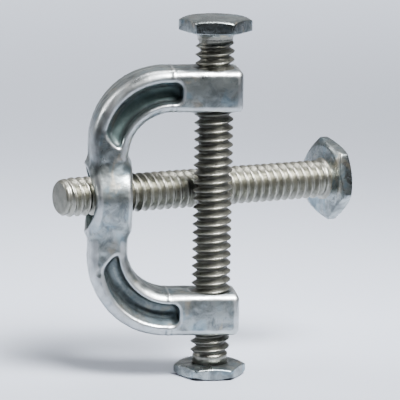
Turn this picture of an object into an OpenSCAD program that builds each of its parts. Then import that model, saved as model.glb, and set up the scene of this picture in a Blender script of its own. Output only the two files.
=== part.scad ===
// Beam clamp: a C-shaped casting on a long clamp screw, with a loose hanger bolt through its back.
// Millimetres, +Z up. The origin is on the clamp screw's axis, in the plane that the foot stands on.
// The C lies in the XZ plane: it opens towards +X, and its boss is at -X.

/* [Casting] */
// Height of the C over both arms
body_h = 33.3; // [27:0.5:40]
// Reach from the clamp screw's axis to the back of the C
body_reach = 15.4; // [13:0.1:19]
// Thickness of each arm
arm_t = 5.4; // [4.4:0.1:7]
// Thickness of the back, between the arms
back_t = 4.8; // [3.8:0.1:5.5]
// Wall between the screw's bore and each face of the arm
side_wall = 0.95; // [0.8:0.05:2]
// Wall between the screw's bore and the end of the arm
end_wall = 0.8; // [0.7:0.05:2]
// Radius of the outer bends
bend_r = 9.4; // [7:0.1:10.5]
// Radius of the inner bends
throat_r = 5.4; // [3:0.1:6]
// Radius of the upright corners at the arm ends
corner_r = 0.8; // [0.3:0.1:1.5]

/* [Pockets] */
// Depth of the pocket in each face
pocket_d = 2; // [0.6:0.1:2.4]
// Width of the rim outside a pocket, along the arms
pocket_rim_out = 1.3; // [0.8:0.1:1.8]
// Width of the rim inside a pocket, along the arms
pocket_rim_in = 1.2; // [0.8:0.1:1.8]
// Width of the rim outside a pocket, along the back
pocket_rim_back = 1.5; // [1:0.1:1.8]
// Distance from the boss to the narrow start of a pocket
pocket_start = 1.8; // [1:0.1:3]
// Distance from the clamp screw's axis to the square end of a pocket
pocket_end = 4.2; // [3.6:0.1:5.5]
// Radius of the pocket's corners at its square end
pocket_corner_r = 0.7; // [0.3:0.1:1]

/* [Boss] */
// Wall of the boss around its bore
boss_wall = 1; // [0.9:0.05:2]
// How far the boss stands proud of the back, on each side
boss_proud = 0.35; // [0.1:0.05:1]
// Bevel at both mouths of the boss bore
boss_bevel = 0.7; // [0.4:0.05:0.8]
// Height of the boss above the middle of the C
boss_up = 0.45; // [0:0.05:1]

/* [Threads and fits] */
// Major diameter of both threads, number 10 unified coarse
thread_d = 4.826; // [4:0.001:6]
// Radial running clearance of the clamp screw in the arms
screw_clear = 0.04; // [0.02:0.01:0.1]
// Running clearance of the hanger bolt, where it lies askew against the boss bore
hanger_clear = 0.02; // [0.01:0.01:0.1]
// Bevel at the mouths of the arm bores
arm_bevel = 0.35; // [0.1:0.05:0.6]
// Gap between the hanger bolt and the clamp screw, where they cross
cross_gap = 0.3; // [0.3:0.05:0.6]

/* [Clamp screw] */
// Free screw between the upper arm and the screw head
gap_above = 4.4; // [2:0.05:10]
// Free screw between the lower arm and the foot cap
gap_below = 3.9; // [2:0.05:10]
// Width of the screw head and of the foot, across flats
hex_w = 7.94; // [7:0.01:9]
// Thickness of the screw head
head_t = 1.7; // [1.2:0.1:2.5]
// Chamfer on the corners of the hexagons
hex_bevel = 0.4; // [0.2:0.05:0.6]
// Height of the plain neck at each end of the screw
neck_h = 0.9; // [0.5:0.1:1.2]
// How much smaller than the thread the plain necks are, in diameter
neck_under = 0.5; // [0.2:0.05:0.8]
// How much larger than the thread the upper neck flares under the head, in diameter
neck_flare = 0.8; // [0.2:0.1:1.2]
// Turn of the screw head about the screw's axis, in degrees
head_turn = -7; // [-30:1:30]

/* [Foot cap] */
// Thickness of the foot cap
foot_t = 1.5; // [1.2:0.1:2]
// Chamfer under the foot cap's corners
foot_bevel = 0.1; // [0.05:0.05:0.4]
// Diameter of the screw's end that is pressed into the foot cap
spigot_d = 3; // [2:0.1:3.6]
// Length of the screw's end that is pressed into the foot cap
spigot_h = 1; // [0.6:0.1:1.1]

/* [Hanger bolt] */
// Length of the hanger bolt under its head
hanger_l = 37.6; // [34:0.1:46]
// Width of the hanger bolt's head, across flats
hanger_hex_w = 9.3; // [7.94:0.01:9.6]
// Thickness of the hanger bolt's head
hanger_head_t = 1.9; // [1.6:0.1:3]
// Turn of the hanger bolt's head about the bolt, in degrees
hanger_head_turn = 6; // [-30:1:30]
// Length of the hanger bolt that stands out of the boss
tip_out = 3.7; // [2:0.1:8]
// Angle of the hanger bolt across the C, seen from above
hanger_yaw = 23; // [19:0.5:25]
// How far the hanger bolt's head hangs below level, in degrees
hanger_droop = 0.8; // [0:0.1:1]
// Height of the hanger bolt above the middle of the boss bore
hanger_lift = 0.3; // [0:0.05:0.35]
// Bevel at the hanger bolt's tip
tip_bevel = 0.3; // [0.1:0.05:0.5]

/* [Hidden] */
$fn = 96;
// Overshoot of a cut past the face that it opens
over = 1;
// Corners of a hexagon
hex_sides = 6;
// Bore through both arms, the width that it asks for, and the end of the arms past it
screw_bore_d = thread_d + 2 * screw_clear;
body_w = screw_bore_d + 2 * side_wall;
arm_end = screw_bore_d / 2 + end_wall;
// Heights: the middle of the C, the middle of the boss, and the underside of the screw head
body_mid = foot_t + gap_below + body_h / 2;
boss_z = body_mid + boss_up;
head_z = foot_t + gap_below + body_h + gap_above;
// Half-height of the C, outside and inside
half_out = body_h / 2;
half_in = half_out - arm_t;
// The inside of the back, and the boss's middle, length and outer face, along X
back_in = back_t - body_reach;
boss_mid = back_t / 2 - body_reach;
boss_l = back_t + 2 * boss_proud;
boss_face = boss_mid - boss_l / 2;
// The hanger bolt passes behind the clamp screw at this distance, axis to axis
cross_d = thread_d + cross_gap;
// Distances along the hanger bolt, from the crossing: the boss's middle, the bolt's tip and its head
hanger_mid = (boss_mid + cross_d * sin(hanger_yaw)) / cos(hanger_yaw);
hanger_tip = (boss_face + cross_d * sin(hanger_yaw)) / cos(hanger_yaw) - tip_out;
// Height of the hanger bolt where it crosses the clamp screw
hanger_z = boss_z + hanger_lift + hanger_mid * tan(hanger_droop);
// How far the askew bolt's axis strays from the bore's axis at the ends of the straight bore, in Y and Z
bore_half = boss_l / 2 - boss_bevel;
stray_y = abs(cross_d / cos(hanger_yaw) + boss_mid * tan(hanger_yaw)) + bore_half * tan(hanger_yaw);
stray_z = hanger_lift + bore_half * tan(hanger_droop);
// The boss bore just lets the askew bolt through
boss_bore_d = 2 * (norm([stray_y, stray_z]) + hanger_clear) + thread_d / cos(hanger_yaw);
boss_d = boss_bore_d + 2 * boss_wall;
neck_d = thread_d - neck_under;

// A plate from x0 to x1, of half-height half, with its two corners at x0 rounded
module bent_plate(x0, x1, half, r) {
    intersection() {
        translate([x0, -half])
            square([x1 - x0, 2 * half]);
        union() {
            for (side = [-1, 1])
                translate([x0 + r, side * (half - r)])
                    circle(r = r);
            translate([x0 + r, -half - over])
                square([x1 - x0, 2 * (half + over)]);
            translate([x0 - over, r - half])
                square([r + 2 * over, 2 * (half - r)]);
        }
    }
}

// A rectangle about the origin with four round corners
module round_plate(w, h, r) {
    for (x = [-1, 1], y = [-1, 1])
        translate([x * (w / 2 - r), y * (h / 2 - r)])
            circle(r = r);
    square([w - 2 * r, h], center = true);
    square([w, h - 2 * r], center = true);
}

// The outline of the C, in X and height from its middle
module c_outline() {
    difference() {
        bent_plate(-body_reach, arm_end, half_out, bend_r);
        bent_plate(back_in, arm_end + over, half_in, throat_r);
    }
}

// The outline of one pocket: a bent strip that narrows from the arm into the back, and starts past the boss,
// whose middle is this far towards the arm
module pocket_outline(boss_shift) {
    pocket_top = half_out - pocket_rim_out;
    pocket_bottom = half_in + pocket_rim_in;
    end_l = 4 * pocket_corner_r;
    difference() {
        bent_plate(pocket_rim_back - body_reach, end_l / -2 - pocket_end, pocket_top, bend_r - pocket_rim_out);
        bent_plate(back_in - pocket_rim_in, over, pocket_bottom, throat_r + pocket_rim_in);
        translate([-body_reach - over, -half_out])
            square([body_reach + over, half_out + boss_shift + boss_d / 2 + pocket_start]);
    }
    translate([end_l / -2 - pocket_end, (pocket_top + pocket_bottom) / 2])
        round_plate(end_l, pocket_top - pocket_bottom, pocket_corner_r);
}

// Stands a flat outline upright, across the width of the C, and centres it on the C's middle
module upright(width) {
    translate([0, width / 2, body_mid])
        rotate([90, 0, 0])
            linear_extrude(width)
                children();
}

// A straight bore with a bevel at both mouths, along Z and about the origin
module beveled_bore(d, length, bevel) {
    cylinder(d = d, h = length + 2 * over, center = true);
    for (flip = [0, 180])
        rotate([flip, 0, 0])
            translate([0, 0, length / 2 - bevel])
                cylinder(r1 = d / 2, r2 = d / 2 + bevel + over, h = bevel + over);
}

// A hexagonal head on its bearing face, with its far corners turned off
module hex_head(width, thick, bevel) {
    corner_d = width / cos(180 / hex_sides);
    intersection() {
        cylinder(d = corner_d, h = thick, $fn = hex_sides);
        union() {
            cylinder(d = corner_d + over, h = thick - bevel);
            translate([0, 0, thick - bevel])
                cylinder(r1 = corner_d / 2, r2 = width / 2 - bevel, h = bevel);
        }
    }
}

// The cast C, with a pocket in each arm on both faces, bored through its arms and its boss
module clamp_body() {
    color([0.66, 0.70, 0.73])
    difference() {
        union() {
            intersection() {
                upright(body_w)
                    c_outline();
                translate([(arm_end - body_reach) / 2, 0, body_mid - half_out])
                    linear_extrude(body_h)
                        round_plate(arm_end + body_reach, body_w, corner_r);
            }
            translate([boss_mid, 0, boss_z])
                rotate([0, 90, 0])
                    cylinder(d = boss_d, h = boss_l, center = true);
        }
        for (face = [-1, 1], side = [0, 1])
            translate([0, face * (body_w - pocket_d + over) / 2, 0])
                upright(pocket_d + over)
                    mirror([0, side])
                        pocket_outline((1 - 2 * side) * boss_up);
        for (side = [-1, 1])
            translate([0, 0, body_mid + side * (half_out + half_in) / 2])
                beveled_bore(screw_bore_d, arm_t, arm_bevel);
        translate([boss_mid, 0, boss_z])
            rotate([0, 90, 0])
                beveled_bore(boss_bore_d, boss_l, boss_bevel);
    }
}

// The long screw through both arms: head and neck above, plain neck and spigot below
module clamp_screw() {
    color([0.55, 0.55, 0.52]) {
        union() {
            translate([0, 0, head_z])
                rotate([0, 0, head_turn])
                    hex_head(hex_w, head_t, hex_bevel);
            translate([0, 0, head_z - neck_h])
                cylinder(d1 = neck_d, d2 = thread_d + neck_flare, h = neck_h);
            translate([0, 0, foot_t + neck_h])
                cylinder(d = thread_d, h = head_z - foot_t - 2 * neck_h);
            translate([0, 0, foot_t])
                cylinder(d = neck_d, h = neck_h);
            translate([0, 0, foot_t - spigot_h])
                cylinder(d = spigot_d, h = spigot_h);
        }
    }
}

// The hexagonal cap on the screw's lower end, which keeps the C on the screw and stands on the floor
module foot_cap() {
    color([0.62, 0.65, 0.64])
    difference() {
        translate([0, 0, foot_t])
            mirror([0, 0, 1])
                hex_head(hex_w, foot_t, foot_bevel);
        translate([0, 0, foot_t - spigot_h])
            cylinder(d = spigot_d, h = spigot_h + over);
    }
}

// The loose bolt through the boss, behind the clamp screw, with its head on the open side
module hanger_bolt() {
    color([0.60, 0.60, 0.56])
    rotate([0, 0, hanger_yaw])
        translate([0, cross_d, hanger_z])
            rotate([0, 90 + hanger_droop, 0])
                translate([0, 0, hanger_tip]) {
                    cylinder(r1 = thread_d / 2 - tip_bevel, r2 = thread_d / 2, h = tip_bevel);
                    translate([0, 0, tip_bevel])
                        cylinder(d = thread_d, h = hanger_l - tip_bevel);
                    translate([0, 0, hanger_l])
                        rotate([0, 0, hanger_head_turn])
                            hex_head(hanger_hex_w, hanger_head_t, hex_bevel);
                }
}

clamp_body();
clamp_screw();
foot_cap();
hanger_bolt();
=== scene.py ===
"""Beam clamp: a zinc-plated C casting, its long clamp screw with a foot cap, and the loose hanger bolt.

The file is laid out as an add-on. Each operator makes one piece around the loaded frame. Lengths are metres
and +Z is up. The origin is on the clamp screw's axis, on the floor. The C opens towards +X.
"""

import bmesh
import bpy
import numpy as np
from bpy.props import FloatProperty, FloatVectorProperty, PointerProperty
from bpy.types import Operator, Panel, PropertyGroup
from mathutils import Matrix, Vector


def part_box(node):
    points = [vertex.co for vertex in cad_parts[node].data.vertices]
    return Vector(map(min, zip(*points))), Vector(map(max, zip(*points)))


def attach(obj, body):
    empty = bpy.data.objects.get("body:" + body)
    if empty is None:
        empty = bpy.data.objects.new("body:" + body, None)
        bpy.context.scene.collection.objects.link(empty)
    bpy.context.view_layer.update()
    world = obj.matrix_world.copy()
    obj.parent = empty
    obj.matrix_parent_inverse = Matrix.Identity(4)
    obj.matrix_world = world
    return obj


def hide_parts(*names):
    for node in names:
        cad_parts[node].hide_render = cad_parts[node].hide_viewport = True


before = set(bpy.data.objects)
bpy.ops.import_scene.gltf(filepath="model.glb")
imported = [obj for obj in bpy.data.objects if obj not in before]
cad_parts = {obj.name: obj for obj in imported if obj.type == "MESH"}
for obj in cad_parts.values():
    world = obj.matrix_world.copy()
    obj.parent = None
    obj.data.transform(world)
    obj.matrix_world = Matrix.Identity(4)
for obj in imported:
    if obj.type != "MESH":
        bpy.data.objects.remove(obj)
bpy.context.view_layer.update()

bl_info = {
    "name": "Beam Clamp",
    "version": (1, 0, 0),
    "blender": (4, 5, 0),
    "location": "3D View > Sidebar > Beam Clamp",
    "description": "Builds a small C-shaped beam clamp with its screw, foot cap and hanger bolt",
    "category": "Object",
}

MM = 0.001
CASTING_LOW, CASTING_HIGH = (np.array(corner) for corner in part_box("clamp_body"))
SCREW_LOW, SCREW_HIGH = (np.array(corner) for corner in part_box("clamp_screw"))
FOOT_LOW, FOOT_HIGH = (np.array(corner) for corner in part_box("foot_cap"))

HEX_SIDES = 6
# Columns round a turned piece: this many between two corners of its hexagon, closest near the corners
COLUMNS_PER_SIDE = 16


def length(name, description, default_mm, low_mm=0.0, high_mm=60.0):
    """A length in metres that a user may change, given in millimetres."""
    return FloatProperty(
        name=name, description=description, default=default_mm * MM, min=low_mm * MM, max=high_mm * MM,
        subtype="DISTANCE", unit="LENGTH", precision=5,
    )


def angle(name, description, degrees):
    """An angle that a user may change, given in degrees."""
    return FloatProperty(
        name=name, description=description, default=np.radians(degrees), subtype="ANGLE", unit="ROTATION",
    )


def colour(name, description, value):
    """A linear colour that a user may change."""
    return FloatVectorProperty(
        name=name, description=description, default=value, size=3, subtype="COLOR", min=0.0, max=1.0,
    )


def share(name, description, value, high=1.0):
    """A plain number that a user may change."""
    return FloatProperty(
        name=name, description=description, default=value, min=0.0, max=high, subtype="FACTOR",
    )


class CastingSettings(PropertyGroup):
    """Sizes and colours of the C casting."""

    arm_t: length("Arm thickness", "Thickness of each arm, along the screw", 5.4)
    back_t: length("Back thickness", "Thickness of the back between the arms", 4.8)
    bar_w: length("Bar width", "Width of the C between its two faces", 6.806)
    outer_bend: length("Outer bend", "Radius of the outer bends", 9.4)
    inner_bend: length("Inner bend", "Radius of the inner bends", 5.4)
    edge_soft: length("Bend edge radius", "Rounding of the long edges round the bends", 1.0)
    end_soft: length("End edge radius", "Rounding of the edges at the arm ends", 0.75)
    crown: length("Crown", "How far the faces fall away towards their edges, as mould draft", 0.26)
    pocket_d: length("Pocket depth", "Depth of the pocket in each face", 2.0)
    pocket_rim_out: length("Outer rim", "Rim outside a pocket, along the arms", 1.3)
    pocket_rim_in: length("Inner rim", "Rim inside a pocket, along the arms", 1.2)
    pocket_rim_back: length("Back rim", "Rim outside a pocket, along the back", 1.5)
    pocket_start: length("Pocket start", "Distance from the boss to the narrow start of a pocket", 1.6)
    pocket_end: length("Pocket end", "Distance from the screw's axis to the square end of a pocket", 4.2)
    boss_proud: length("Boss stand-out", "How far the boss stands proud of the back", 0.35)
    boss_up: length("Boss rise", "Height of the boss above the middle of the C", 0.45)
    boss_wall: length("Boss wall", "Wall of the boss round its bore", 0.93)
    boss_blend: length("Boss blend", "Size of the cast fillet where the boss meets the arms", 1.3)
    boss_bevel: length("Boss bevel", "Bevel at both mouths of the boss bore", 0.35)
    screw_bore: length("Arm bore", "Diameter of the bore in both arms", 4.906)
    arm_bevel: length("Arm bevel", "Bevel at the mouths of the arm bores", 0.35)
    ripple: length("Casting ripple", "Height of the uneven cast surface", 0.035)
    tick: length("Mould line", "Height of the mould lines across the arms", 0.08)
    voxel: length("Mesh step", "Spacing of the grid that the skin is drawn from", 0.172, 0.08, 1.0)
    zinc: colour("Zinc", "Bright zinc plate", (0.335, 0.368, 0.368))
    # Darker plate for the mottle and specks, and also the painted shade in the casting's inside corners
    zinc_dark: colour("Dull zinc", "Zinc plate where it is dull or stained", (0.13, 0.147, 0.152))
    # Painted highlight along the casting's outside edges
    zinc_edge_highlight: colour("Rubbed zinc", "Plate on the edges, rubbed bright", (0.62, 0.64, 0.65))
    tint_blue: colour("Blue tint", "Blue passivation tint on the plate", (0.20, 0.34, 0.44))
    tint_yellow: colour("Yellow tint", "Yellow passivation tint on the plate", (0.40, 0.34, 0.25))
    # Painted shade: the dark plate colour given deep in the pockets and the boss bore
    pocket_painted_shade: colour("Pocket tint", "Dull green-blue plate inside the pockets", (0.035, 0.052, 0.050))
    roughness: share("Roughness", "Roughness of the bright plate", 0.24)


class ThreadSettings(PropertyGroup):
    """Sizes and colours of both threaded pieces."""

    major_d: length("Major diameter", "Diameter over the thread's crests", 4.826)
    pitch: length("Pitch", "Rise of the thread in one turn", 1.0583)
    depth: length("Thread depth", "Depth of the thread from crest to root", 0.60)
    neck_d: length("Neck diameter", "Diameter of the plain necks", 4.326)
    neck_h: length("Neck height", "Height of the plain neck at each end of the clamp screw", 0.9)
    flare: length("Flare", "How much wider than the thread the upper neck is under the head", 0.8)
    spigot_d: length("Spigot diameter", "Diameter of the screw's end inside the foot cap", 3.0)
    hex_w: length("Hexagon width", "Width of the screw head and foot cap across flats", 7.94)
    head_turn: angle("Head turn", "Turn of the screw head about the screw", -7.0)
    foot_turn: angle("Foot turn", "Turn of the foot cap about the screw", 1.0)
    phase: length("Thread start", "Height of a crest on the +X side, modulo the pitch", 0.47)
    steel: colour("Steel", "Rolled steel of the threads", (0.235, 0.232, 0.20))
    # Lighter steel on the thread's crests: partly rubbed, partly a painted highlight
    steel_rubbed_and_highlight: colour("Light steel", "Steel where it is rubbed bright", (0.27, 0.265, 0.235))
    # Darker colour in the thread's roots: partly dirt, partly painted shade
    grime_and_shade: colour("Grime", "Dark oil and dirt in the thread's roots", (0.07, 0.07, 0.058))
    roughness: share("Roughness", "Roughness of the rolled steel", 0.33)


class HangerSettings(PropertyGroup):
    """Sizes and place of the hanger bolt."""

    under_head: length("Length", "Length of the bolt under its head", 37.6)
    hex_w: length("Hexagon width", "Width of the bolt's head across flats", 9.3)
    head_t: length("Head thickness", "Thickness of the bolt's head", 1.9)
    head_turn: angle("Head turn", "Turn of the bolt's head about the bolt", -14.0)
    yaw: angle("Yaw", "Angle of the bolt across the C, seen from above", 23.0)
    droop: angle("Droop", "How far the head hangs below level", 0.8)
    lift: length("Lift", "Height of the bolt above the middle of the boss bore", 0.3)
    cross_gap: length("Crossing gap", "Gap between the bolt and the clamp screw where they cross", 0.3)
    tip_out: length("Tip", "Length of the bolt that stands out of the boss", 3.7)
    tip_bevel: length("Tip bevel", "Bevel round the bolt's tip", 0.3)
    phase: length("Thread start", "Place of a crest along the bolt, modulo the pitch", 0.2)


class StageSettings(PropertyGroup):
    """Floor, light and camera."""

    camera_azimuth: angle("Camera azimuth", "Angle of the camera about the vertical", -7.0)
    camera_height: angle("Camera elevation", "Angle of the camera above level", 11.0)
    camera_roll: angle("Camera roll", "Turn of the camera about its own line of sight", 1.0)
    camera_far: length("Camera distance", "Distance from the camera to its aim", 434.0, 50.0, 5000.0)
    camera_lens: FloatProperty(name="Lens", description="Focal length on a 36 mm sensor, in millimetres",
                               default=316.4)
    floor: colour("Floor", "Plain pale floor", (0.36, 0.39, 0.455))
    floor_far: length("Floor size", "Distance from the floor's middle to its edge", 1600.0, 100.0, 9000.0)
    key: share("Key light", "Power of the soft light from the front right, in watts", 0.90, 50.0)
    top: share("Top light", "Power of the soft light above, in watts", 0.07, 50.0)
    back: share("Back light", "Power of the wide soft light over the floor behind, in watts", 5.6, 50.0)
    side: share("Side light", "Power of the narrow soft light on the left, in watts", 0.06, 50.0)


# --- Meshes ---

# Points closer than this are one point
WELD = 2e-7
# Slides of the skin's points on to the surface, the probe for its slope as a share of a grid step, and the
# smallest squared slope that a slide divides by
SETTLING_STEPS = 3
PROBE_SHARE = 0.05
LEAST_SLOPE = 0.2


def add_mesh(name, points, faces, body, nodes, attributes=None):
    """Makes an object, welds its seams and poles, ties it to its body, and hides the CAD nodes that it
    replaces.
    """
    mesh = bpy.data.meshes.new(name)
    mesh.from_pydata(points.tolist(), [], faces.tolist())
    for key, values in (attributes or {}).items():
        mesh.attributes.new(key, "FLOAT", "POINT").data.foreach_set("value", values.astype(np.float32))
    work = bmesh.new()
    work.from_mesh(mesh)
    bmesh.ops.remove_doubles(work, verts=work.verts, dist=WELD)
    bmesh.ops.dissolve_degenerate(work, edges=work.edges, dist=WELD)
    work.to_mesh(mesh)
    work.free()
    mesh.shade_smooth()
    piece = bpy.data.objects.new(name, mesh)
    bpy.context.scene.collection.objects.link(piece)
    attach(piece, body)
    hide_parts(*nodes)
    return piece


def smoothstep(low, high, x):
    """0 below low, 1 above high, and a smooth cubic between."""
    t = np.clip((x - low) / (high - low), 0.0, 1.0)
    return t * t * (3.0 - 2.0 * t)


def round_max(radius, *fields):
    """The larger of several distances, with their meeting edge rounded to this radius."""
    stack = np.stack([field + radius for field in fields])
    return np.sqrt(np.sum(np.maximum(stack, 0.0) ** 2, axis=0)) + np.minimum(stack.max(axis=0), 0.0) - radius


def blend_min(size, a, b):
    """The smaller of two distances, with a fillet of this size where they meet."""
    mix = np.maximum(size - np.abs(a - b), 0.0) / size
    return np.minimum(a, b) - mix * mix * size / 4.0


def bent_slab(x, z, x_back, half, radius):
    """Distance to a slab from x_back towards +X, half high each way, with both corners at x_back rounded."""
    dx = x_back + radius - x
    dz = np.abs(z) - (half - radius)
    return np.hypot(np.maximum(dx, 0.0), np.maximum(dz, 0.0)) + np.minimum(np.maximum(dx, dz), 0.0) - radius


def draw_skin(field, low, high, step):
    """The surface where field is zero, as points and four-sided faces.

    The field is sampled on a grid. Each grid cell that the surface passes through gets one point, at the mean
    of the places where the surface cuts the cell's edges, and each cut edge gets one face joining the four
    cells round it. Every point then slides down the field's own slope until it lies on the surface.
    """
    counts = np.ceil((high - low) / step).astype(int) + 1
    axes = [low[k] + step * np.arange(counts[k]) for k in range(3)]
    values = field(*np.meshgrid(*axes, indexing="ij"))
    cells = tuple(counts - 1)
    total, hits, fans = np.zeros((np.prod(cells), 3)), np.zeros(np.prod(cells)), []
    for axis in range(3):
        before = np.take(values, np.arange(counts[axis] - 1), axis)
        after = np.take(values, np.arange(1, counts[axis]), axis)
        cut = (before < 0) != (after < 0)
        edge = np.argwhere(cut)
        place = edge.astype(float)
        place[:, axis] += before[cut] / (before[cut] - after[cut])
        one, two = np.eye(3, dtype=int)[(axis + 1) % 3], np.eye(3, dtype=int)[(axis + 2) % 3]
        around = (0 * one, one, one + two, two)
        four = np.stack([np.ravel_multi_index((edge - off).T, cells) for off in around], axis=1)
        for corner in four.T:
            hits += np.bincount(corner, minlength=len(hits))
            for k in range(3):
                total[:, k] += np.bincount(corner, place[:, k], minlength=len(hits))
        outward = (before[cut] < 0)[:, None]
        fans.append(np.where(outward, four, four[:, ::-1]))
    used = hits > 0
    number = np.cumsum(used) - 1
    points = low + step * total[used] / hits[used, None]
    for _ in range(SETTLING_STEPS):
        here = field(*points.T)
        probe = step * PROBE_SHARE
        slope = np.stack([field(*(points + probe * unit).T) - here for unit in np.eye(3)], axis=1) / probe
        points -= slope * (here / np.maximum((slope ** 2).sum(axis=1), LEAST_SLOPE))[:, None]
    return points, number[np.concatenate(fans)]


# --- The casting ---

# Draft of the whole bar away from the parting plane at y = 0, and of the boss's outer end
DRAFT = 0.035
END_DRAFT = 0.27
# Where the edge rounding changes from that of the arm ends to that of the bends, measured back from the screw
SOFT_NEAR, SOFT_FAR = 3.0 * MM, 8.0 * MM
# How far the crown goes on past the edge of a face, as a share
CROWN_LIMIT = 1.5
# The boss: how much fuller its middle is, and the rounding of its ends
BARREL = 0.18 * MM
BOSS_SOFT = 0.5 * MM
# The pockets: rounding between walls and at the foot, lean of each wall, and slant of the narrow start
POCKET_CORNER = 0.9 * MM
POCKET_FOOT = 0.55 * MM
POCKET_DRAFT = 0.12
OUTER_DRAFT = 0.55
START_DRAFT = 0.25
START_SLANT = 1.0
# Where a pocket's floor begins to rise, measured from the boss, and how much of the depth it rises by
RISE_RUN = 6.5 * MM
RISE_SHARE = 0.45
# How fast the mouth at the outer side of the boss narrows with depth, and how far the boss bore runs on past
# the back
FUNNEL_SLOPE = 0.6
BORE_PAST = 3.0 * MM
# Rounding of the pockets' lips and of the bores' mouths
LIP = 0.28 * MM
MOUTH = 0.12 * MM
# The mould lines: half-width and place of the ones across the arms; half-width, height and ends of the
# parting line
LINE_WIDTH = 0.15 * MM
LINE_UPPER, LINE_LOWER = -5.3 * MM, -5.5 * MM
PARTING_WIDTH = 0.16 * MM
PARTING_LINE = 0.05 * MM
PARTING_NEAR, PARTING_FAR = -1.0 * MM, -4.0 * MM
# Smooth metal round the arm bores
BORE_CALM = 0.6 * MM
# How much each wave of the cast surface wanders
WANDER = 3.0
# Direction across each wave of the cast surface, and its wavelength in millimetres
RIPPLES = (
    ((0.8, 0.3, 0.5), 4.1), ((-0.4, 0.7, 0.6), 3.3), ((0.2, -0.5, 0.9), 5.2), ((0.6, 0.6, -0.6), 2.4),
    ((-0.7, 0.2, 0.7), 1.9), ((0.5, -0.8, 0.2), 2.9),
)
# Small dents near the boss: X, Y, height from the middle, reach and depth, in millimetres
DENTS = (
    (-13.6, -3.9, -5.0, 0.45, 0.16), (-12.0, -3.9, -5.2, 0.40, 0.14), (-13.9, -3.6, -6.4, 0.35, 0.20),
    (-13.4, -3.7, 5.1, 0.45, 0.16), (-11.8, -3.6, 5.3, 0.5, 0.12), (-12.4, -3.4, -7.3, 0.4, 0.15),
    (-12.8, 3.8, 5.2, 0.5, 0.15), (-13.5, 3.7, -5.4, 0.45, 0.16), (-14.2, -3.3, -8.6, 0.4, 0.12),
)
# How much painted shade the lower pockets get, beside the upper ones
LOWER_POCKET_SHADE = 0.5
# The painted shade in the hollows fades in between these: distance inside a pocket's walls, its depth,
# distance inside the boss's outline and distance in from the boss's outer end
SHADE_WALLS = (-0.2 * MM, 0.3 * MM)
SHADE_DEPTH = (0.15 * MM, 1.2 * MM)
SHADE_BORE = (0.55 * MM, 0.70 * MM)
SHADE_END = (0.1 * MM, 0.4 * MM)
# Step over which the skin's bend is measured, and between which bends an edge fades in, in radians a
# millimetre
EDGE_STEP = 0.3 * MM
EDGE_BENDS = (0.35, 1.3)


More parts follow.
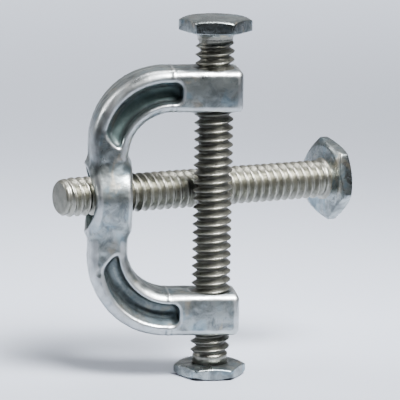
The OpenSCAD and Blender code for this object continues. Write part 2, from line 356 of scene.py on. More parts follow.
class CastingShape:
    """The casting as a field of distances, in the clamp's own frame. Negative is inside the metal.

    Inside the methods that it is made of, z is measured from the middle of the C.
    """

    def __init__(self, s):
        self.s = s
        self.mid = (CASTING_LOW[2] + CASTING_HIGH[2]) / 2
        self.half_out = (CASTING_HIGH[2] - CASTING_LOW[2]) / 2
        self.half_in = self.half_out - s.arm_t
        self.boss_face = CASTING_LOW[0]
        self.back_out = self.boss_face + s.boss_proud
        self.back_in = self.back_out + s.back_t
        self.boss_mid = (self.back_out + self.back_in) / 2
        self.boss_half = s.back_t / 2 + s.boss_proud
        self.boss_r = (CASTING_HIGH[1] - CASTING_LOW[1]) / 2
        self.arm_end = CASTING_HIGH[0]

    def bar(self, x, y, z):
        """The C: the outer bent slab without the inner one, cut off at the arm ends and at both faces.

        The faces fall away from the middle of the bar towards its edges by the crown, and the edges are
        rounded more round the bends than at the arm ends.
        """
        s = self.s
        outline = np.maximum(
            bent_slab(x, z, self.back_out, self.half_out, s.outer_bend),
            -bent_slab(x, z, self.back_in, self.half_in, s.inner_bend),
        )
        outline = outline + DRAFT * np.abs(y)
        off_middle = np.clip(1.0 + outline / (s.arm_t / 2), 0.0, CROWN_LIMIT)
        face = np.abs(y) - s.bar_w / 2 + s.crown * off_middle ** 2
        soft = s.end_soft + (s.edge_soft - s.end_soft) * smoothstep(SOFT_NEAR, SOFT_FAR, -x)
        return round_max(soft, outline, face, x - self.arm_end)

    def boss(self, x, y, z):
        """The barrel through the back: a cylinder along X with soft ends, a little fuller at its middle.

        Its outer end leans in away from the parting plane.
        """
        along = np.abs(x - self.boss_mid)
        radial = np.hypot(y, z - self.s.boss_up) - self.boss_r + BARREL * (along / self.boss_half) ** 2
        lean = np.where(x < self.boss_mid, END_DRAFT, 0.0)
        return round_max(BOSS_SOFT, radial, along - self.boss_half + lean * np.abs(y))

    def pocket_walls(self, x, z, depth):
        """Distance to a pocket's walls at this depth: a bent strip that narrows from the arm into the back.

        Each wall leans in as it goes deeper: the outer wall and the narrow slanting start more than the
        others.
        """
        s = self.s
        outer = bent_slab(x, z, self.back_out + s.pocket_rim_back, self.half_out - s.pocket_rim_out,
                          s.outer_bend - s.pocket_rim_out)
        inner = -bent_slab(x, z, self.back_in - s.pocket_rim_in, self.half_in + s.pocket_rim_in,
                           s.inner_bend + s.pocket_rim_in)
        from_boss = np.abs(z) - np.sign(z) * s.boss_up - self.boss_r - s.pocket_start
        start = START_SLANT * (self.back_in - s.pocket_rim_in - x) - from_boss
        return round_max(POCKET_CORNER, outer + OUTER_DRAFT * depth, inner + POCKET_DRAFT * depth,
                         x + s.pocket_end + POCKET_DRAFT * depth, start + START_DRAFT * depth)

    def pockets(self, x, y, z):
        """A pocket in each face of each arm, with drafted walls, a round foot and a rising floor."""
        s = self.s
        depth = s.bar_w / 2 - np.abs(y)
        rise = smoothstep(-self.boss_r - RISE_RUN, -self.boss_r - s.pocket_start, -np.abs(z))
        floor = depth - s.pocket_d * (1.0 - RISE_SHARE * rise)
        return round_max(POCKET_FOOT, self.pocket_walls(x, z, depth), floor)

    def bores(self, x, y, z):
        """The arm bores along Z and the boss bore along X, each with a cone at its mouths."""
        s = self.s
        from_axis = np.hypot(x, y)
        level = np.abs(z)
        arm_mouth = np.minimum(np.abs(level - self.half_out), np.abs(level - self.half_in))
        arm = from_axis - s.screw_bore / 2 - np.maximum(s.arm_bevel - arm_mouth, 0.0)
        round_boss = np.hypot(y, z - s.boss_up)
        bevel = np.maximum(s.boss_bevel - (self.back_in + s.boss_proud - x), 0.0)
        funnel = np.maximum(s.boss_bevel - FUNNEL_SLOPE * (x - self.boss_face), 0.0)
        boss = round_boss - (self.boss_r - s.boss_wall) - np.maximum(bevel, funnel)
        boss = np.maximum(boss, x - self.back_in - BORE_PAST)
        return arm, boss

    def ripple(self, x, y, z):
        """The uneven cast surface: slow waves in crossing directions, mould lines and small dents."""
        s = self.s
        waves = 0.0
        for direction, wavelength in RIPPLES:
            phase = (x * direction[0] + y * direction[1] + z * direction[2]) / (wavelength * MM)
            waves = waves + np.sin(2 * np.pi * phase + WANDER * np.sin(phase))
        height = s.ripple * waves / len(RIPPLES)
        away_from_bores = smoothstep(0.0, BORE_CALM, np.hypot(x, y) - s.screw_bore / 2)
        line = np.where(z > 0, LINE_UPPER, LINE_LOWER)
        height = height + s.tick * np.exp(-((x - line) / LINE_WIDTH) ** 2)
        parting = np.exp(-(y / PARTING_WIDTH) ** 2) * smoothstep(PARTING_NEAR, PARTING_FAR, x)
        height = height + PARTING_LINE * parting
        for px, py, pz, reach, sink in DENTS:
            far = (x - px * MM) ** 2 + (y - py * MM) ** 2 + (z - pz * MM) ** 2
            height = height - sink * MM * np.exp(-far / (reach * MM) ** 2)
        return height * away_from_bores

    def __call__(self, x, y, z):
        """The whole casting: bar and boss with a cast fillet, less the pockets and the bores."""
        s = self.s
        z = z - self.mid
        metal = blend_min(s.boss_blend, self.bar(x, y, z), self.boss(x, y, z))
        metal = round_max(LIP, metal - self.ripple(x, y, z), -self.pockets(x, y, z))
        arm, boss = self.bores(x, y, z)
        return round_max(MOUTH, metal, -np.minimum(arm, boss))

    def hollow(self, x, y, z):
        """How much painted shade the skin gets: 1 deep inside a pocket or the boss bore, 0 outside them."""
        deep = self.s.bar_w / 2 - np.abs(y)
        inside = -self.pocket_walls(x, z - self.mid, deep)
        # The upper pockets get more painted shade than the lower ones
        pocket_shade = np.where(z > self.mid, 1.0, LOWER_POCKET_SHADE)
        pocket = pocket_shade * smoothstep(*SHADE_WALLS, inside) * smoothstep(*SHADE_DEPTH, deep)
        inside_boss = self.boss_r - np.hypot(y, z - self.mid - self.s.boss_up)
        bore = smoothstep(*SHADE_BORE, inside_boss) * smoothstep(*SHADE_END, x - self.boss_face)
        return np.maximum(pocket, bore)

    def edge(self, points):
        """How sharply the skin bends: up to 1 on outside edges, down to -1 in inside corners, 0 on flat skin.

        It is the sum of the second differences of the field over a short step along each axis.
        """
        middle = self(*points.T)
        bend = 0.0
        for axis in range(3):
            step = np.zeros(3)
            step[axis] = EDGE_STEP
            bend = bend + self(*(points + step).T) + self(*(points - step).T) - 2.0 * middle
        bend = bend / EDGE_STEP ** 2 * MM
        return smoothstep(*EDGE_BENDS, bend) - smoothstep(*EDGE_BENDS, -bend)


# --- Turned and threaded pieces ---

# The middle of each side of a hexagon whose first corner is at 0, and the power that sets how crisp its
# corners are
SIDE_MIDDLES = (np.arange(HEX_SIDES) + 0.5) * 2 * np.pi / HEX_SIDES
HEX_CRISP = 44.0
# A hexagon's round face as a share of its width, the rise of a closed face, and the rounding of faces and
# corners
FACE_SHARE = 0.93
DOME = 0.05 * MM
EDGE = 0.25 * MM
HEX_EDGE = 0.12 * MM
# Longest share of a row step that a rounding takes up
ROUND_SHARE = 0.48
# Place in one turn and depth as a share, from crest to root and back: flat crest, straight flanks, round root
THREAD_PROFILE = np.array([
    (0.0, 0.0), (0.04, 0.01), (0.07, 0.07), (0.11, 0.19),
    (0.20, 0.44), (0.30, 0.73), (0.36, 0.88), (0.42, 0.97),
    (0.5, 1.0), (0.58, 0.97), (0.64, 0.88), (0.70, 0.73),
    (0.80, 0.44), (0.89, 0.19), (0.93, 0.07), (0.96, 0.01),
])
# A point this much deeper than the root is no longer thread
PAST_ROOT = 1.05


def hex_columns(turn):
    """Angles round a piece whose hexagon is turned by turn, closest together near the hexagon's corners."""
    along = np.linspace(-1.0, 1.0, COLUMNS_PER_SIDE, endpoint=False)
    side = np.pi / HEX_SIDES * np.sin(np.pi / 2 * along)
    return np.sort(np.mod((SIDE_MIDDLES[:, None] + side).ravel() + turn, 2 * np.pi))


def hex_radius(angles, turn, flat_w):
    """Radius of a hexagon with soft corners: the sum of the six sides' cosines, each to a high power."""
    facing = np.maximum(np.cos(angles[:, None] - SIDE_MIDDLES - turn), 0.0) ** HEX_CRISP
    return flat_w / 2 * facing.sum(axis=1) ** (-1.0 / HEX_CRISP)


def ring(radius, height, columns):
    """One row of a turned piece: radius and height for each column."""
    return np.stack(np.broadcast_arrays(radius, height, columns * 0.0)[:2], axis=-1)


def soften(rows, radii, steps=4):
    """Rounds the corners of a stack of rows: each becomes a short curve between points that far from it."""
    out = [rows[0]]
    for before, corner, after, radius in zip(rows[:-2], rows[1:-1], rows[2:], radii):
        if radius == 0:
            out.append(corner)
            continue
        back, on = before - corner, after - corner
        back_l = np.linalg.norm(back, axis=-1, keepdims=True)
        on_l = np.linalg.norm(on, axis=-1, keepdims=True)
        reach = np.minimum(radius, ROUND_SHARE * np.minimum(back_l, on_l))
        start, end = corner + back / back_l * reach, corner + on / on_l * reach
        for t in np.linspace(0.0, 1.0, steps):
            out.append((1 - t) ** 2 * start + 2 * t * (1 - t) * corner + t * t * end)
    out.append(rows[-1])
    return out


def hex_rows(angles, turn, flat_w, low, high, fall, from_r, to_r):
    """Rows of a hexagon from its low face to its high one, its corners turned off by a cone at both faces.

    The cone's height above a face's own height falls with the hexagon's radius, which draws the curved line
    on each side. from_r and to_r are the radii where the two faces begin, 0 for a face that closes in its
    middle.
    """
    r = hex_radius(angles, turn, flat_w)
    face_r = flat_w / 2 * FACE_SHARE
    low_drop, high_drop = ((r - face_r) * slope for slope in fall)
    rows = [
        ring(from_r, low, angles),
        ring(face_r, low, angles),
        ring(r, low + low_drop, angles),
        ring(r, high - high_drop, angles),
        ring(face_r, high, angles),
        ring(to_r, high + (DOME if to_r == 0 else 0.0), angles),
    ]
    return soften(rows, [EDGE, HEX_EDGE, HEX_EDGE, EDGE])


def thread_rows(angles, t, low, high, phase, low_r, high_r, low_run, high_run):
    """Rows of a right-hand thread between two heights.

    Height is the turn's own height plus the pitch for each full angle, held between low and high. Radius is
    the crest radius less the thread's depth there, and runs out smoothly into low_r and high_r. The last
    column joins the first one a full turn further up, so the list of joins is shifted by one turn's rows.
    """
    first = np.floor((low - phase) / t.pitch) - 1
    turns = int(np.ceil((high - phase) / t.pitch) - first)
    per_turn = len(THREAD_PROFILE)
    base = phase + t.pitch * (first + (np.arange(turns)[:, None] + THREAD_PROFILE[:, 0]).ravel())
    base = np.append(base, phase + t.pitch * (first + turns))
    depth = np.append(np.tile(THREAD_PROFILE[:, 1], turns), 0.0)
    height = np.clip(base[:, None] + t.pitch * angles / (2 * np.pi), low, high)
    radius = t.major_d / 2 - t.depth * depth[:, None]
    radius = low_r + (radius - low_r) * smoothstep(low, low + low_run, height)
    radius = high_r + (radius - high_r) * smoothstep(high, high - high_run, height)
    joins = np.minimum(np.arange(len(base)) + per_turn, len(base) - 1)
    return np.stack([radius, height], axis=-1), joins


def turned_mesh(angles, blocks):
    """Points, faces and radii of a turned piece, from blocks of rows and their joins at the seam.

    A point is at radius times the cosine and sine of its column's angle, and at its own height.
    """
    rows, joins = [], []
    for block, block_joins in blocks:
        start = len(rows)
        rows.extend(block)
        own = np.arange(len(block)) if block_joins is None else block_joins
        joins.extend(start + own)
    rows = np.array(rows)
    radius, height = rows[..., 0], rows[..., 1]
    points = np.stack([radius * np.cos(angles), radius * np.sin(angles), height], axis=-1)
    index = np.arange(radius.size).reshape(radius.shape)
    right = np.roll(index, -1, axis=1)
    right[:, -1] = index[np.array(joins), 0]
    faces = np.stack([index[:-1], right[:-1], right[1:], index[1:]], axis=-1).reshape(-1, 4)
    return points.reshape(-1, 3), faces, radius.ravel()


def root_share(radius, t):
    """How deep a point is in the thread: 0 at the crest, 1 at the root."""
    below = (t.major_d / 2 - radius) / t.depth
    return np.clip(below, 0.0, 1.0) * (below < PAST_ROOT)


# --- Materials ---


class Nodes:
    """Short calls for one material's nodes."""

    def __init__(self, name):
        self.material = bpy.data.materials.new(name)
        self.material.use_nodes = True
        self.tree = self.material.node_tree
        self.shader = self.tree.nodes["Principled BSDF"]
        self.place = self.add("ShaderNodeTexCoord").outputs["Object"]

    def add(self, kind, **inputs):
        """A node of this kind, with its inputs linked or set by name."""
        node = self.tree.nodes.new(kind)
        for key, value in inputs.items():
            self.put(node.inputs[key.replace("_", " ")], value)
        return node

    def put(self, socket, value):
        """Links a socket to another one, or sets its own value. A colour is made opaque."""
        if isinstance(value, bpy.types.NodeSocket):
            self.tree.links.new(value, socket)
        elif socket.type == "RGBA":
            socket.default_value = (*value, 1.0)
        else:
            socket.default_value = value

    def noise(self, size, detail=3.0, rough=0.55, stretch=(1.0, 1.0, 1.0), distortion=0.0):
        """Noise whose features are about this many metres across."""
        mapping = self.add("ShaderNodeMapping", Vector=self.place, Scale=tuple(k / size for k in stretch))
        node = self.add("ShaderNodeTexNoise", Vector=mapping.outputs[0], Scale=1.0, Detail=detail,
                        Roughness=rough, Distortion=distortion)
        return node.outputs["Fac"]

    def attribute(self, name):
        """The piece's own stored value of this name."""
        node = self.add("ShaderNodeAttribute")
        node.attribute_name = name
        return node.outputs["Fac"]

    def ramp(self, value, low, high, out_low=0.0, out_high=1.0):
        """Maps low to high onto out_low to out_high, smoothly and held at the ends."""
        node = self.add("ShaderNodeMapRange", Value=value, From_Min=low, From_Max=high,
                        To_Min=out_low, To_Max=out_high)
        node.interpolation_type = "SMOOTHSTEP"
        return node.outputs["Result"]

    def math(self, operation, a, b):
        """One sum, product or the like."""
        node = self.tree.nodes.new("ShaderNodeMath")
        node.operation = operation
        self.put(node.inputs[0], a)
        self.put(node.inputs[1], b)
        return node.outputs[0]

    def mix(self, share_of_b, a, b):
        """Colour a turning into colour b."""
        node = self.tree.nodes.new("ShaderNodeMix")
        node.data_type = "RGBA"
        for index, value in ((0, share_of_b), (6, a), (7, b)):
            self.put(node.inputs[index], value)
        return node.outputs[2]

    def bump(self, height, distance, normal=None):
        """Relief of this many metres from a value of 0 to 1."""
        node = self.add("ShaderNodeBump", Height=height, Distance=distance, Strength=1.0)
        if normal is not None:
            self.put(node.inputs["Normal"], normal)
        return node.outputs["Normal"]

    def finish(self, **inputs):
        """Sets the shader's own inputs and gives the material."""
        for key, value in inputs.items():
            self.put(self.shader.inputs[key.replace("_", " ")], value)
        return self.material


# Zinc: size of the features of each noise
MOTTLE_SIZE, CLOUD_SIZE, GRAIN_SIZE, SPECK_SIZE = 1.6 * MM, 2.6 * MM, 0.36 * MM, 0.5 * MM
BLUE_SIZE, YELLOW_SIZE, WAVE_SIZE = 3.1 * MM, 2.3 * MM, 1.1 * MM
# Between which values of its noise each of them fades in, and how strong a tint gets
MOTTLE_BAND, SPECK_BAND, CLOUD_BAND = (0.36, 0.66), (0.60, 0.70), (0.3, 0.7)
BLUE_BAND, BLUE_SHARE = (0.50, 0.68), 0.30
YELLOW_BAND, YELLOW_SHARE = (0.60, 0.74), 0.50
SPECK_SHARE = 0.40
# Between which bends the painted highlight on outside edges and the painted shade in inside corners fade in,
# and how strong both get
EDGE_HIGHLIGHT_BAND, CORNER_SHADE_BAND, EDGE_SHARE = (0.05, 0.9), (-0.9, -0.05), 0.55
# How strong the painted shade in the hollows gets
HOLLOW_SHADE_SHARE = 0.93
# Roughness added to a casting, and to a turned piece; and by cloud, mottle and the painted shade in the
# hollows
CAST_ROUGH, TURNED_ROUGH = 0.03, -0.03
CLOUD_ROUGH, MOTTLE_ROUGH, HOLLOW_SHADE_ROUGH = 0.08, 0.10, 0.22
WAVE_HEIGHT, GRAIN_HEIGHT = 0.050 * MM, 0.016 * MM


def plated_zinc(name, s, cast):
    """Bright zinc plate: mottled grey with specks, blue and yellow tints, gentle waves and fine grain.

    On a casting it also gets a painted highlight on the outside edges, and painted shade in the inside
    corners and in the pockets and the boss bore.
    """
    n = Nodes(name)
    mottle = n.ramp(n.noise(MOTTLE_SIZE, 5.0, 0.62, distortion=0.6), *MOTTLE_BAND)
    cloud = n.noise(CLOUD_SIZE, 2.0, 0.5)
    grain = n.noise(GRAIN_SIZE, 2.0, 0.5)
    speck = n.ramp(n.noise(SPECK_SIZE, 3.0, 0.6), *SPECK_BAND)
    blue = n.ramp(n.noise(BLUE_SIZE, 2.0, 0.5, distortion=1.0), *BLUE_BAND, 0.0, BLUE_SHARE)
    yellow = n.ramp(n.noise(YELLOW_SIZE, 2.0, 0.5, (1.0, 1.0, 0.6), 1.2), *YELLOW_BAND, 0.0, YELLOW_SHARE)
    base = n.mix(mottle, s.zinc, s.zinc_dark)
    base = n.mix(blue, base, s.tint_blue)
    base = n.mix(yellow, base, s.tint_yellow)
    base = n.mix(n.math("MULTIPLY", speck, SPECK_SHARE), base, s.zinc_dark)
    least = s.roughness + (CAST_ROUGH if cast else TURNED_ROUGH)
    rough = n.ramp(cloud, *CLOUD_BAND, least, least + CLOUD_ROUGH)
    rough = n.math("ADD", rough, n.math("MULTIPLY", mottle, MOTTLE_ROUGH))
    if cast:
        # Painted highlight on the outside edges and painted shade in the inside corners, by how sharply the
        # skin bends
        edge = n.attribute("edge")
        base = n.mix(n.math("MULTIPLY", n.ramp(edge, *EDGE_HIGHLIGHT_BAND), EDGE_SHARE), base, s.zinc_edge_highlight)
        base = n.mix(n.math("MULTIPLY", n.ramp(edge, *CORNER_SHADE_BAND, 1.0, 0.0), EDGE_SHARE), base, s.zinc_dark)
        # Painted shade deep in the pockets and the boss bore, where the plate is also rougher
        deep = n.attribute("hollow")
        base = n.mix(n.math("MULTIPLY", deep, HOLLOW_SHADE_SHARE), base, s.pocket_painted_shade)
        rough = n.math("ADD", rough, n.math("MULTIPLY", deep, HOLLOW_SHADE_ROUGH))
    relief = n.bump(n.noise(WAVE_SIZE, 1.0, 0.5), WAVE_HEIGHT)
    relief = n.bump(grain, GRAIN_HEIGHT, relief)
    return n.finish(Base_Color=base, Roughness=rough, Normal=relief, Metallic=1.0)


# Steel: size of the features of each noise
PATCH_SIZE, MARK_SIZE, DIRT_SHADE_SIZE, DENT_SIZE = 1.5 * MM, 0.16 * MM, 0.9 * MM, 0.55 * MM
PATCH_BAND, PATCH_TONE = (0.35, 0.65), 0.75
# How far marks blur the lighter crests, partly rubbed and partly a painted highlight, and how far a noise
# blurs the darker roots, partly dirt and partly painted shade; between which depths both fade, and how strong
# both get
CREST_BLUR, CREST_BAND, CREST_SHARE = 0.25, (0.10, 0.42), 0.75
DIRT_SHADE_BLUR, DIRT_SHADE_BAND, DIRT_SHADE_SHARE = 0.45, (0.75, 1.35), 0.45
MARK_BAND = (0.3, 0.7)
# Roughness taken or added by marks and dirt
MARK_SMOOTH, MARK_ROUGH, DIRT_ROUGH = 0.08, 0.10, 0.25
DENT_HEIGHT, MARK_HEIGHT = 0.035 * MM, 0.014 * MM
# How bright the steel of each piece is, beside the setting: the same steel is lighter on the hanger than on
# the screw
SCREW_BRIGHTNESS, HANGER_BRIGHTNESS = 0.92, 1.35


def rolled_steel(name, t, brightness):
    """Rolled steel: warm grey, fine marks; crests lighter, rubbed and painted highlight; roots darker, dirt
    and painted shade.
    """
    n = Nodes(name)
    root = n.attribute("root")
    patches = n.ramp(n.noise(PATCH_SIZE, 4.0, 0.6, distortion=0.5), *PATCH_BAND)
    mark = n.noise(MARK_SIZE, 4.0, 0.65)
    # Lighter crests: partly rubbed steel, partly a painted highlight
    crest = n.ramp(n.math("ADD", root, n.math("MULTIPLY", mark, CREST_BLUR)), *CREST_BAND, 1.0, 0.0)
    base = n.mix(patches, tuple(brightness * c for c in t.steel), tuple(PATCH_TONE * brightness * c for c in t.steel))
    base = n.mix(n.math("MULTIPLY", crest, CREST_SHARE), base, tuple(brightness * c for c in t.steel_rubbed_and_highlight))
    # Darker roots: partly dirt, partly painted shade
    dirt_and_shade = n.math("ADD", root, n.math("MULTIPLY", n.noise(DIRT_SHADE_SIZE), DIRT_SHADE_BLUR))
    dirt_and_shade = n.ramp(dirt_and_shade, *DIRT_SHADE_BAND, 0.0, DIRT_SHADE_SHARE)
    base = n.mix(dirt_and_shade, base, t.grime_and_shade)
    rough = n.ramp(mark, *MARK_BAND, t.roughness - MARK_SMOOTH, t.roughness + MARK_ROUGH)
    rough = n.math("ADD", rough, n.math("MULTIPLY", dirt_and_shade, DIRT_ROUGH))
    relief = n.bump(n.noise(DENT_SIZE, 3.0, 0.55), DENT_HEIGHT)
    relief = n.bump(mark, MARK_HEIGHT, relief)
    return n.finish(Base_Color=base, Roughness=rough, Normal=relief, Metallic=1.0)


# --- Operators ---

# Grid steps of free space round the casting
MARGIN_STEPS = 3.0
# The clamp screw: head thickness, rounding of its lower end, turns in which the thread runs out at its two
# ends, and the curve and rows of the flare under the head
HEAD_T = 1.7 * MM
SPIGOT_EDGE = 0.15 * MM
SCREW_RUNS = (0.7, 0.9)
FLARE_POWER = 1.6
FLARE_ROWS = np.linspace(0.1, 1.0, 8)
# Slopes of the cones that turn off a hexagon's corners, at its lower and upper face
HEAD_FALL, FOOT_FALL, HANGER_FALL = (0.10, 0.40), (0.45, 0.35), (0.45, 0.50)
# The hanger bolt: height, flare and rows of its neck, rounding of the tip, turns in which the thread runs
# out, and the radii where the tip's bevel starts and ends, in bevels inside the crest
NECK_H = 0.35 * MM
NECK_FLARE = 0.5 * MM
NECK_ROWS = np.linspace(0.2, 1.0, 5)
TIP_EDGE = 0.08 * MM
HANGER_RUN = 0.8
TIP_START, TIP_END = 1.6, 0.7
# Dirt on the tip's face, and the share of the bevel that counts as the face
TIP_DIRT, TIP_FACE = 0.9, 0.2
# A point with more than this of the head's mark belongs to the head
HEAD_MARK = 0.9


def paint_above(mesh, height):
    """Gives the faces whose middle is above this height the mesh's second material."""
    centres = np.empty(3 * len(mesh.polygons))
    mesh.polygons.foreach_get("center", centres)
    mesh.polygons.foreach_set("material_index", (centres[2::3] > height).astype(int))


def paint_marked(mesh, key):
    """Gives the faces whose first corner is marked by this attribute the mesh's second material."""
    mark = np.empty(len(mesh.vertices), np.float32)
    mesh.attributes[key].data.foreach_get("value", mark)
    first = np.empty(len(mesh.polygons), int)
    mesh.polygons.foreach_get("loop_start", first)
    corner = np.empty(len(mesh.loops), int)
    mesh.loops.foreach_get("vertex_index", corner)
    mesh.polygons.foreach_set("material_index", (mark[corner[first]] > HEAD_MARK).astype(int))


class CLAMP_OT_casting(Operator):
    """Make the C casting with its pockets, boss and bores"""

    bl_idname = "beam_clamp.casting"
    bl_label = "Casting"

    def execute(self, context):
        s = context.scene.clamp_casting
        shape = CastingShape(s)
        margin = np.full(3, MARGIN_STEPS * s.voxel)
        points, faces = draw_skin(shape, CASTING_LOW - margin, CASTING_HIGH + margin, s.voxel)
        # The stored edge and hollow values carry the painted edge highlight, the painted corner shade and the
        # painted shade in the hollows
        piece = add_mesh("casting", points, faces, "clamp", ["clamp_body"],
                         {"hollow": shape.hollow(*points.T), "edge": shape.edge(points)})
        piece.data.materials.append(plated_zinc("bright_zinc_plate", s, True))
        return {"FINISHED"}


class CLAMP_OT_screw(Operator):
    """Make the clamp screw: spigot, necks, thread, and the chamfered head"""

    bl_idname = "beam_clamp.screw"
    bl_label = "Clamp screw"

    def execute(self, context):
        t = context.scene.clamp_thread
        low, foot_top, top = SCREW_LOW[2], FOOT_HIGH[2], SCREW_HIGH[2]
        seat = top - HEAD_T
        angles = hex_columns(t.head_turn)
        neck_r, wide_r = t.neck_d / 2, (t.major_d + t.flare) / 2
        thread_low, thread_high = foot_top + t.neck_h, seat - t.neck_h
        foot = soften([
            ring(0.0, low, angles), ring(t.spigot_d / 2, low, angles), ring(t.spigot_d / 2, foot_top, angles),
            ring(neck_r, foot_top, angles), ring(neck_r, thread_low, angles),
        ], [SPIGOT_EDGE, 0.0, 0.0])
        low_run, high_run = (turns * t.pitch for turns in SCREW_RUNS)
        thread, joins = thread_rows(angles, t, thread_low, thread_high, t.phase, neck_r, neck_r,
                                    low_run, high_run)
        flare = [ring(neck_r + (wide_r - neck_r) * k ** FLARE_POWER, thread_high + k * t.neck_h, angles)
                 for k in FLARE_ROWS]
        head = hex_rows(angles, t.head_turn, t.hex_w, seat, top, HEAD_FALL, wide_r, 0.0)
        points, faces, radius = turned_mesh(
            angles, [(foot, None), (thread, joins), (flare, None), (head, None)])
        on_thread = (points[:, 2] > thread_low) & (points[:, 2] < thread_high)
        piece = add_mesh("clamp_screw_steel", points, faces, "screw", ["clamp_screw"],
                         {"root": root_share(radius, t) * on_thread})
        piece.data.materials.append(rolled_steel("rolled_screw_steel", t, SCREW_BRIGHTNESS))
        piece.data.materials.append(plated_zinc("plated_head", context.scene.clamp_casting, False))
        paint_above(piece.data, seat - 0.5 * t.neck_h)
        return {"FINISHED"}


class CLAMP_OT_foot(Operator):
    """Make the hexagonal foot cap, with the socket that the screw's spigot is pressed into"""

    bl_idname = "beam_clamp.foot"
    bl_label = "Foot cap"

    def execute(self, context):
        t = context.scene.clamp_thread
        angles = hex_columns(t.foot_turn)
        socket = SCREW_LOW[2]
        socket_r = t.spigot_d / 2
        outside = hex_rows(angles, t.foot_turn, t.hex_w, FOOT_LOW[2], FOOT_HIGH[2], FOOT_FALL, 0.0, socket_r)
        inside = [ring(socket_r, socket, angles), ring(0.0, socket, angles)]
        points, faces, _ = turned_mesh(angles, [(outside, None), (inside, None)])
        piece = add_mesh("foot_cap_zinc", points, faces, "screw", ["foot_cap"])
        piece.data.materials.append(plated_zinc("plated_foot", context.scene.clamp_casting, False))
        return {"FINISHED"}


class CLAMP_OT_hanger(Operator):
    """Make the loose hanger bolt that lies through the boss, behind the clamp screw"""

    bl_idname = "beam_clamp.hanger"
    bl_label = "Hanger bolt"

    def execute(self, context):
        t, h = context.scene.clamp_thread, context.scene.clamp_hanger
        shape = CastingShape(context.scene.clamp_casting)
        crossing = t.major_d + h.cross_gap
        along_mid = (shape.boss_mid + crossing * np.sin(h.yaw)) / np.cos(h.yaw)
        tip = (shape.boss_face + crossing * np.sin(h.yaw)) / np.cos(h.yaw) - h.tip_out
        level = shape.mid + shape.s.boss_up + h.lift + along_mid * np.tan(h.droop)
        angles = hex_columns(h.head_turn)
        r, neck_r = t.major_d / 2, t.neck_d / 2
        tip_r, wide_r = r - TIP_END * h.tip_bevel, neck_r + NECK_FLARE
        thread_low, thread_high = h.tip_bevel, h.under_head - NECK_H
        start = soften([ring(0.0, 0.0, angles), ring(r - TIP_START * h.tip_bevel, 0.0, angles),
                        ring(tip_r, thread_low, angles)], [TIP_EDGE])
        run = HANGER_RUN * t.pitch
        thread, joins = thread_rows(angles, t, thread_low, thread_high, h.phase, tip_r, neck_r, run, run)
        neck = [ring(neck_r + NECK_FLARE * k ** 2, thread_high + NECK_H * k, angles) for k in NECK_ROWS]
        head_high = h.under_head + h.head_t
        head = hex_rows(angles, h.head_turn, h.hex_w, h.under_head, head_high, HANGER_FALL, wide_r, 0.0)
        points, faces, radius = turned_mesh(
            angles, [(start, None), (thread, joins), (neck, None), (head, None)])
        along = points[:, 2]
        root = root_share(radius, t) * (along > thread_low) * (along < thread_high)
        root = np.maximum(root, TIP_DIRT * (along < TIP_FACE * thread_low))
        place = np.array(Matrix.Rotation(h.yaw, 4, "Z") @ Matrix.Translation((0.0, crossing, level))
                         @ Matrix.Rotation(np.pi / 2 + h.droop, 4, "Y") @ Matrix.Translation((0.0, 0.0, tip)))
        placed = points @ place[:3, :3].T + place[:3, 3]
        piece = add_mesh("hanger_bolt_steel", placed, faces, "hanger", ["hanger_bolt"],
                         {"root": root, "head": smoothstep(thread_high, h.under_head, along)})
        piece.data.materials.append(rolled_steel("rolled_hanger_steel", t, HANGER_BRIGHTNESS))
        piece.data.materials.append(plated_zinc("plated_hanger_head", context.scene.clamp_casting, False))
        paint_marked(piece.data, "head")
        return {"FINISHED"}


# --- Stage ---

# Where the floor's painted shade is darkest in front, and where the floor reaches its full tone; how dark the
# painted shade gets, and the floor's height
FLOOR_DIM, FLOOR_BRIGHT = -115 * MM, 28 * MM
FLOOR_SHADE = 0.2
FLOOR_DROP = -0.02 * MM
FLOOR_ROUGH = 0.85
# The room: strength of its light, the way towards its bright side, where that side's full tone begins, and
# its tones
WORLD_STRENGTH = 0.4
BRIGHT_SIDE = (0.0, 0.8, 0.3)
BRIGHT_FROM = 0.75
DARK_TONE, BRIGHT_TONE = (0.025, 0.027, 0.03, 1.0), (0.95, 0.97, 1.0, 1.0)
CAMERA_AIM = (-1.52, 0.193, 21.994)
CLIP_END = 10.0
# Name, azimuth and elevation in degrees, distance, width and depth in millimetres, spread in degrees, and how
# far its aim is moved towards +Y, in millimetres
LIGHTS = (
    ("key", 35, 58, 330, 180, 170, 50, 0),
    ("top", 170, 72, 320, 200, 90, 50, 0),
    ("back", 180, 89, 500, 1000, 500, 60, 450),
    ("side", -100, 30, 320, 60, 200, 50, 0),
)


def turned(azimuth, elevation):
    """The direction at this azimuth, from -Y and turning towards +X, and this elevation above level."""
    level = np.cos(elevation)
    return Vector((np.sin(azimuth) * level, -np.cos(azimuth) * level, np.sin(elevation)))


def soft_light(name, azimuth, elevation, distance, width, depth, spread, power, aim):
    """A rectangle of soft light, in this direction and at this distance from aim, and facing it."""
    data = bpy.data.lights.new(name, "AREA")
    data.shape = "RECTANGLE"
    data.size, data.size_y, data.energy = width * MM, depth * MM, power
    data.spread = np.radians(spread)
    light = bpy.data.objects.new(name, data)
    direction = turned(np.radians(azimuth), np.radians(elevation))
    light.location = aim + direction * distance * MM
    light.rotation_euler = direction.to_track_quat("Z", "Y").to_euler()
    bpy.context.scene.collection.objects.link(light)


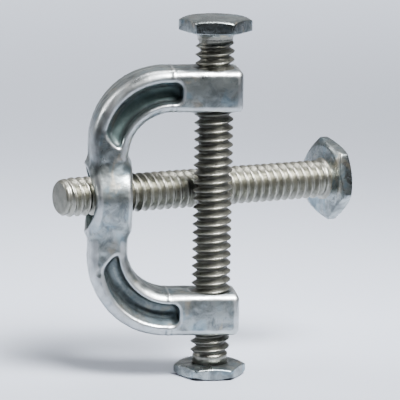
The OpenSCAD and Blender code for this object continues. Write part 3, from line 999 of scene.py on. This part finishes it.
class CLAMP_OT_stage(Operator):
    """Make the floor, the soft lights and the camera"""

    bl_idname = "beam_clamp.stage"
    bl_label = "Stage"

    def execute(self, context):
        g = context.scene.clamp_stage
        scene = context.scene
        far = g.floor_far
        mesh = bpy.data.meshes.new("floor")
        # Painted shade: the floor is coloured darker towards the front, so that the upright faces mirror a
        # darker room there
        rows = (-far, FLOOR_DIM, FLOOR_BRIGHT, far)
        points = [(x, y, FLOOR_DROP) for y in rows for x in (-far, far)]
        mesh.from_pydata(points, [], [(2 * k, 2 * k + 1, 2 * k + 3, 2 * k + 2) for k in range(3)])
        mesh.attributes.new("dim", "FLOAT", "POINT").data.foreach_set("value", (1.0,) * 4 + (0.0,) * 4)
        floor = bpy.data.objects.new("floor", mesh)
        scene.collection.objects.link(floor)
        n = Nodes("pale_floor")
        shade = n.mix(n.attribute("dim"), g.floor, tuple(FLOOR_SHADE * c for c in g.floor))
        floor.data.materials.append(n.finish(Base_Color=shade, Roughness=FLOOR_ROUGH))
        aim = Vector(CAMERA_AIM) * MM
        for name, *place, shift in LIGHTS:
            soft_light(name, *place, getattr(g, name), aim + Vector((0.0, shift * MM, 0.0)))
        self.surround(scene)
        self.camera(scene, g, aim)
        return {"FINISHED"}

    def surround(self, scene):
        """Soft light from all round, bright above and behind and dark in front."""
        world = bpy.data.worlds.new("studio")
        world.use_nodes = True
        tree = world.node_tree
        direction = tree.nodes.new("ShaderNodeTexCoord").outputs["Generated"]
        tilt = tree.nodes.new("ShaderNodeVectorMath")
        tilt.operation = "DOT_PRODUCT"
        tree.links.new(direction, tilt.inputs[0])
        tilt.inputs[1].default_value = BRIGHT_SIDE
        ramp = tree.nodes.new("ShaderNodeValToRGB")
        tree.links.new(tilt.outputs["Value"], ramp.inputs[0])
        for stop, place, tone in zip(ramp.color_ramp.elements, (0.0, BRIGHT_FROM), (DARK_TONE, BRIGHT_TONE)):
            stop.position, stop.color = place, tone
        tree.links.new(ramp.outputs[0], tree.nodes["Background"].inputs["Color"])
        tree.nodes["Background"].inputs["Strength"].default_value = WORLD_STRENGTH
        scene.world = world

    def camera(self, scene, g, aim):
        """The camera at its azimuth, elevation and distance, rolled a little about its line of sight."""
        data = bpy.data.cameras.new("camera")
        data.lens = g.camera_lens
        data.clip_end = CLIP_END
        camera = bpy.data.objects.new("camera", data)
        toward = turned(g.camera_azimuth, g.camera_height)
        right = Vector((0.0, 0.0, 1.0)).cross(toward).normalized()
        up = toward.cross(right)
        roll_right = np.cos(g.camera_roll) * right + np.sin(g.camera_roll) * up
        roll_up = toward.cross(roll_right)
        basis = Matrix((roll_right, roll_up, toward)).transposed().to_4x4()
        camera.matrix_world = Matrix.Translation(aim + toward * g.camera_far) @ basis
        scene.collection.objects.link(camera)
        scene.camera = camera


PIECES = (CLAMP_OT_stage, CLAMP_OT_casting, CLAMP_OT_screw, CLAMP_OT_foot, CLAMP_OT_hanger)
SETTINGS = {
    "clamp_stage": StageSettings, "clamp_casting": CastingSettings, "clamp_thread": ThreadSettings,
    "clamp_hanger": HangerSettings,
}


class CLAMP_PT_panel(Panel):
    """The clamp's sizes, colours and makers"""

    bl_label = "Beam Clamp"
    bl_idname = "CLAMP_PT_panel"
    bl_space_type = "VIEW_3D"
    bl_region_type = "UI"
    bl_category = "Beam Clamp"

    def draw(self, context):
        for key, group in SETTINGS.items():
            box = self.layout.box()
            box.label(text=group.__doc__)
            for name in group.__annotations__:
                box.prop(getattr(context.scene, key), name)
        for piece in PIECES:
            self.layout.operator(piece.bl_idname)


def register():
    for cls in (*SETTINGS.values(), *PIECES, CLAMP_PT_panel):
        bpy.utils.register_class(cls)
    for key, group in SETTINGS.items():
        setattr(bpy.types.Scene, key, PointerProperty(type=group))


def unregister():
    for key in SETTINGS:
        delattr(bpy.types.Scene, key)
    for cls in (CLAMP_PT_panel, *reversed(PIECES), *reversed(SETTINGS.values())):
        bpy.utils.unregister_class(cls)


def main():
    register()
    for piece in PIECES:
        family, name = piece.bl_idname.split(".")
        getattr(getattr(bpy.ops, family), name)()
    bpy.context.view_layer.update()


if __name__ == "__main__":
    main()
